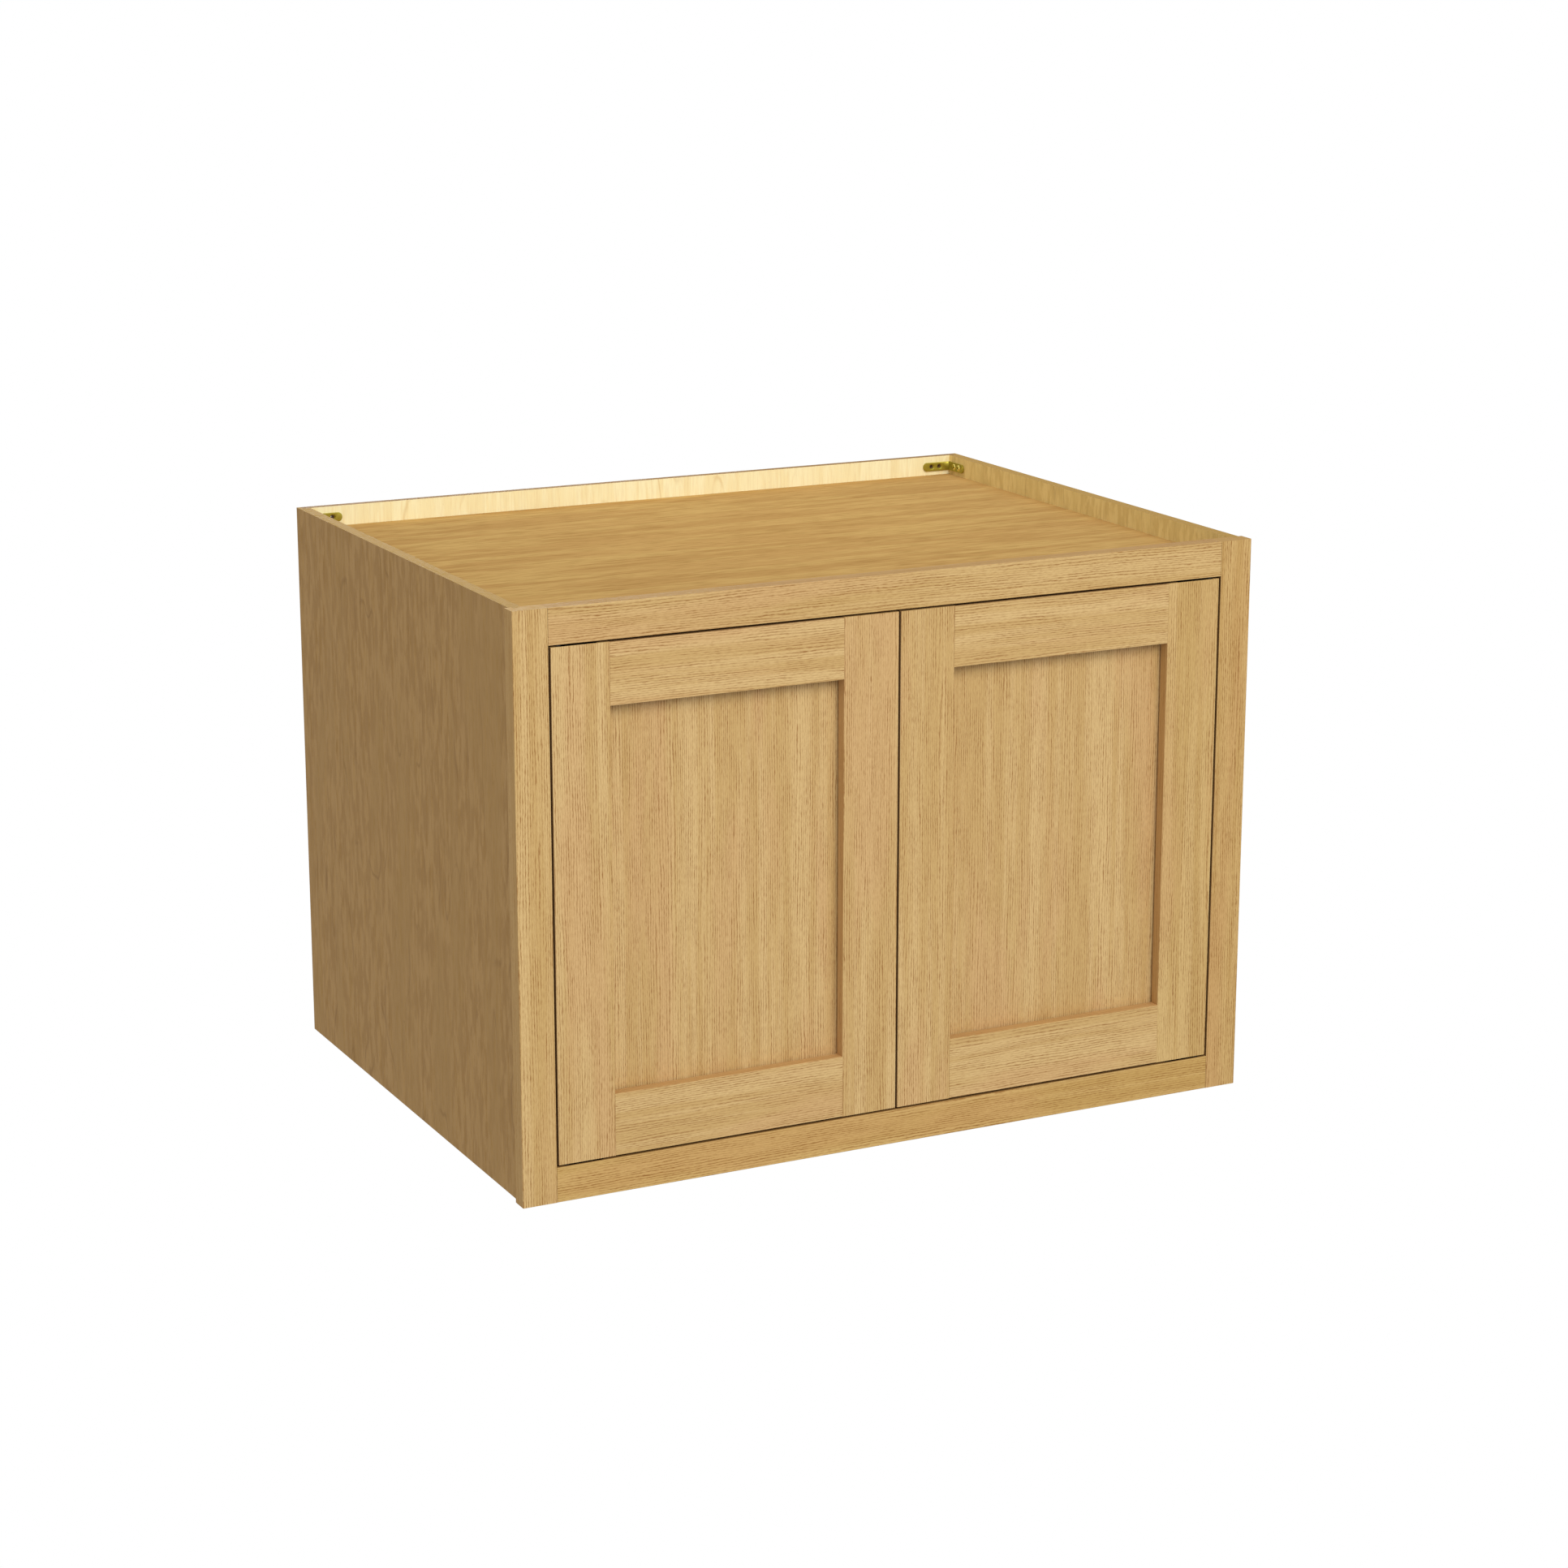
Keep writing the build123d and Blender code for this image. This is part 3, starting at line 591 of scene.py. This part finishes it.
# screws: one tree makes a threaded countersunk screw with a cross recess and sets it at every point
screwShape = {  # shares of the head radius, unless said otherwise
    "rim": 0.07,
    "dome": 0.02,
    "recessSpan": 0.62,
    "recessWidth": 0.15,
    "recessDepth": 0.75,
    "core": 0.36,
    "thread": 0.47,
    "pitch": 0.55,
    "sides": 32,
    "inset": 0.6,  # rims that the flat top is drawn in
    "sink": 0.9,  # rims down to where the dome starts
    "domeRings": 16,
    "tip": 2.2,  # thread radii
    "tipEnd": 0.1,  # share of the core
    "turnSteps": 20,
    "ridgeSides": 3,
    "spinSeed": 11,
}
screwInputs = {  # the tree's input: the name of its value above
    "Rim": "rim",
    "Dome": "dome",
    "Recess Span": "recessSpan",
    "Recess Width": "recessWidth",
    "Recess Depth": "recessDepth",
    "Core": "core",
    "Thread": "thread",
    "Pitch": "pitch",
    "Sides": "sides",
}
screwChanges = {"bracket_screws": {"dome": 0.3, "recessSpan": 0.7, "recessWidth": 0.17}}  # raised heads
screwGroups = {  # node: (finish, slot, body)
    # the bracket screws take the finish with the painted highlight
    "bracket_screws": ("brightYellowZinc", "yellow_zinc_steel", "cabinet"),
    "back_panel_screws": ("clearZinc", "zinc_screw_steel", "cabinet"),
    "catch_screws": ("clearZinc", "zinc_screw_steel", "cabinet"),
    "frame_leaf_screws": ("blackSteel", "blackened_hinge_steel", "cabinet"),
    "left_door_leaf_screws": ("blackSteel", "blackened_hinge_steel", "left_door"),
    "right_door_leaf_screws": ("blackSteel", "blackened_hinge_steel", "right_door"),
    "left_strike_screw": ("clearZinc", "zinc_screw_steel", "left_door"),
    "right_strike_screw": ("clearZinc", "zinc_screw_steel", "right_door"),
}


def screwPlaces(name):
    # each loose solid of the CAD node is one screw: its head's centre, its way out, head radius and length
    shape = mergedCopy(name)
    found, waiting = [], set(shape.verts)
    while waiting:
        reached, solid = [waiting.pop()], []
        while reached:
            vert = reached.pop()
            solid.append(vert.co.copy())
            for link in vert.link_edges:
                other = link.other_vert(vert)
                if other in waiting:
                    waiting.discard(other)
                    reached.append(other)
        low = Vector([min(point[i] for point in solid) for i in range(3)])
        high = Vector([max(point[i] for point in solid) for i in range(3)])
        size = high - low
        axis = max(range(3), key=lambda i: size[i])
        across = (axis + 1) % 3
        wide = max(solid, key=lambda point: abs(point[across] - (low[across] + high[across]) / 2))
        outward = 1 if wide[axis] > (low[axis] + high[axis]) / 2 else -1
        head = (low + high) / 2
        head[axis] = high[axis] if outward > 0 else low[axis]
        away = Vector([outward if i == axis else 0 for i in range(3)])
        found.append((head, away, size[across] / 2, size[axis]))
    shape.free()
    return sorted(found, key=lambda place: tuple(place[0]))


def makeScrewTree():
    tree = bpy.data.node_groups.new("crossRecessScrews", "GeometryNodeTree")
    tree.interface.new_socket("Geometry", in_out="INPUT", socket_type="NodeSocketGeometry")
    for label in ("Head Radius", "Length", *screwInputs):
        kind = "NodeSocketInt" if label == "Sides" else "NodeSocketFloat"
        tree.interface.new_socket(label, in_out="INPUT", socket_type=kind)
    tree.interface.new_socket("Finish", in_out="INPUT", socket_type="NodeSocketMaterial")
    tree.interface.new_socket("Geometry", in_out="OUTPUT", socket_type="NodeSocketGeometry")
    given = addNode(tree, "NodeGroupInput").outputs

    def math(operation, *values):
        return mathNode(tree, operation, *values)

    def vector(x=0.0, y=0.0, z=0.0):
        node = addNode(tree, "ShaderNodeCombineXYZ")
        for index, value in enumerate((x, y, z)):
            if isinstance(value, float):
                node.inputs[index].default_value = value
            else:
                tree.links.new(value, node.inputs[index])
        return node.outputs["Vector"]

    def cone(top, bottom, tall, base):
        # rises from base by tall
        made = addNode(
            tree, "GeometryNodeMeshCone", {},
            {"Vertices": given["Sides"], "Radius Top": top, "Radius Bottom": bottom, "Depth": tall},
        )
        return addNode(
            tree, "GeometryNodeTransform", {},
            {"Geometry": made.outputs["Mesh"], "Translation": vector(z=base)},
        ).outputs["Geometry"]

    def block(spanX, spanY, deep):
        made = addNode(tree, "GeometryNodeMeshCube", {}, {"Size": vector(spanX, spanY, deep)})
        return made.outputs["Mesh"]

    radius = given["Head Radius"]
    core = math("MULTIPLY", radius, given["Core"])
    threadRadius = math("MULTIPLY", radius, given["Thread"])
    rim = math("MULTIPLY", radius, given["Rim"])
    taper = math("SUBTRACT", radius, threadRadius)
    taperBase = math("MULTIPLY", math("ADD", taper, rim), -1.0)
    deep = math("MULTIPLY", taper, math("MULTIPLY", given["Recess Depth"], 2.0))
    span = math("MULTIPLY", radius, math("MULTIPLY", given["Recess Span"], 2.0))
    width = math("MULTIPLY", radius, math("MULTIPLY", given["Recess Width"], 2.0))
    innerRadius = math("SUBTRACT", radius, math("MULTIPLY", rim, screwShape["inset"]))
    rimMesh = cone(innerRadius, radius, rim, math("MULTIPLY", rim, -1.0))
    headMesh = cone(radius, threadRadius, taper, taperBase)
    ball = addNode(
        tree, "GeometryNodeMeshUVSphere", {"Rings": screwShape["domeRings"]},
        {"Segments": given["Sides"], "Radius": innerRadius},
    )
    domeMesh = addNode(
        tree, "GeometryNodeTransform", {},
        {
            "Geometry": ball.outputs["Mesh"],
            "Translation": vector(z=math("MULTIPLY", rim, -screwShape["sink"])),
            "Scale": vector(1.0, 1.0, given["Dome"]),
        },
    ).outputs["Geometry"]
    tip = math("MULTIPLY", threadRadius, screwShape["tip"])
    tipBase = math("MULTIPLY", given["Length"], -1.0)
    shankBase = math("ADD", tipBase, tip)
    shankTall = math("SUBTRACT", taperBase, shankBase)
    shankMesh = cone(core, core, shankTall, shankBase)
    tipMesh = cone(core, math("MULTIPLY", core, screwShape["tipEnd"]), tip, tipBase)
    body = addNode(tree, "GeometryNodeMeshBoolean", operation="UNION")
    for part in (rimMesh, domeMesh, headMesh, shankMesh, tipMesh):
        tree.links.new(part, body.inputs["Mesh 2"])
    cut = addNode(
        tree, "GeometryNodeMeshBoolean", {}, {"Mesh 1": body.outputs["Mesh"]}, operation="DIFFERENCE"
    )
    for cutter in (block(span, width, deep), block(width, span, deep)):
        tree.links.new(cutter, cut.inputs["Mesh 2"])
    turns = math("DIVIDE", shankTall, math("MULTIPLY", radius, given["Pitch"]))
    spiral = addNode(
        tree, "GeometryNodeCurveSpiral", {"Resolution": screwShape["turnSteps"]},
        {"Rotations": turns, "Start Radius": core, "End Radius": core, "Height": shankTall},
    )
    ridge = addNode(
        tree, "GeometryNodeCurvePrimitiveCircle", {"Resolution": screwShape["ridgeSides"]},
        {"Radius": math("SUBTRACT", threadRadius, core)},
    )
    thread = addNode(
        tree, "GeometryNodeCurveToMesh", {"Fill Caps": True},
        {"Curve": spiral.outputs["Curve"], "Profile Curve": ridge.outputs["Curve"]},
    )
    threadPlaced = addNode(
        tree, "GeometryNodeTransform", {},
        {"Geometry": thread.outputs["Mesh"], "Translation": vector(z=shankBase)},
    )
    joined = addNode(tree, "GeometryNodeJoinGeometry")
    for part in (cut.outputs["Mesh"], threadPlaced.outputs["Geometry"]):
        tree.links.new(part, joined.inputs["Geometry"])
    facing = addNode(
        tree, "GeometryNodeInputNamedAttribute", {"Name": "facing"}, data_type="FLOAT_VECTOR"
    ).outputs["Attribute"]
    aligned = addNode(tree, "FunctionNodeAlignRotationToVector", {}, {"Vector": facing}, axis="Z")
    spin = addNode(  # no two recesses stop at the same angle
        tree, "FunctionNodeRandomValue",
        {"Min": (0, 0, 0), "Max": (0, 0, 2 * pi), "Seed": screwShape["spinSeed"]}, data_type="FLOAT_VECTOR",
    )
    turned = addNode(
        tree, "FunctionNodeRotateRotation", {},
        {"Rotation": aligned.outputs["Rotation"], "Rotate By": spin.outputs["Value"]},
        rotation_space="LOCAL",
    )
    placed = addNode(
        tree, "GeometryNodeInstanceOnPoints", {},
        {
            "Points": given["Geometry"],
            "Instance": joined.outputs["Geometry"],
            "Rotation": turned.outputs["Rotation"],
        },
    )
    real = addNode(tree, "GeometryNodeRealizeInstances", {}, {"Geometry": placed.outputs["Instances"]})
    painted = addNode(
        tree, "GeometryNodeSetMaterial", {},
        {"Geometry": real.outputs["Geometry"], "Material": given["Finish"]},
    )
    addNode(tree, "NodeGroupOutput", {}, {"Geometry": painted.outputs["Geometry"]})
    return tree


def makeScrews(name, finish, slotName, body, tree):
    places = screwPlaces(name)
    points = bpy.data.meshes.new(name + ".places")
    points.from_pydata([place[0] for place in places], [], [])
    facing = points.attributes.new("facing", "FLOAT_VECTOR", "POINT")
    facing.data.foreach_set("vector", [value for place in places for value in place[1]])
    maker = bpy.data.objects.new(name + ".made", points)
    bpy.context.scene.collection.objects.link(maker)
    modifier = maker.modifiers.new("screws", "NODES")
    modifier.node_group = tree
    headRadius, length = places[0][2:]
    sizes = {"Head Radius": headRadius, "Length": length, "Finish": metals[finish]}
    shape = dict(screwShape, **screwChanges.get(name, {}))
    sizes.update({label: shape[key] for label, key in screwInputs.items()})
    for socket in tree.interface.items_tree:
        if socket.in_out == "INPUT" and socket.name in sizes:
            modifier[socket.identifier] = sizes[socket.name]
    seen = maker.evaluated_get(bpy.context.evaluated_depsgraph_get())
    mesh = bpy.data.meshes.new_from_object(seen)
    mesh.name = name + ".cross"
    bpy.data.objects.remove(maker)
    return addPiece(name + ".cross", mesh, metals[finish], body, slotName, name)


screwTree = makeScrewTree()
for name, plan in screwGroups.items():
    made = makeScrews(name, *plan, screwTree)
    print(name, "screws made,", len(made.data.polygons), "faces")
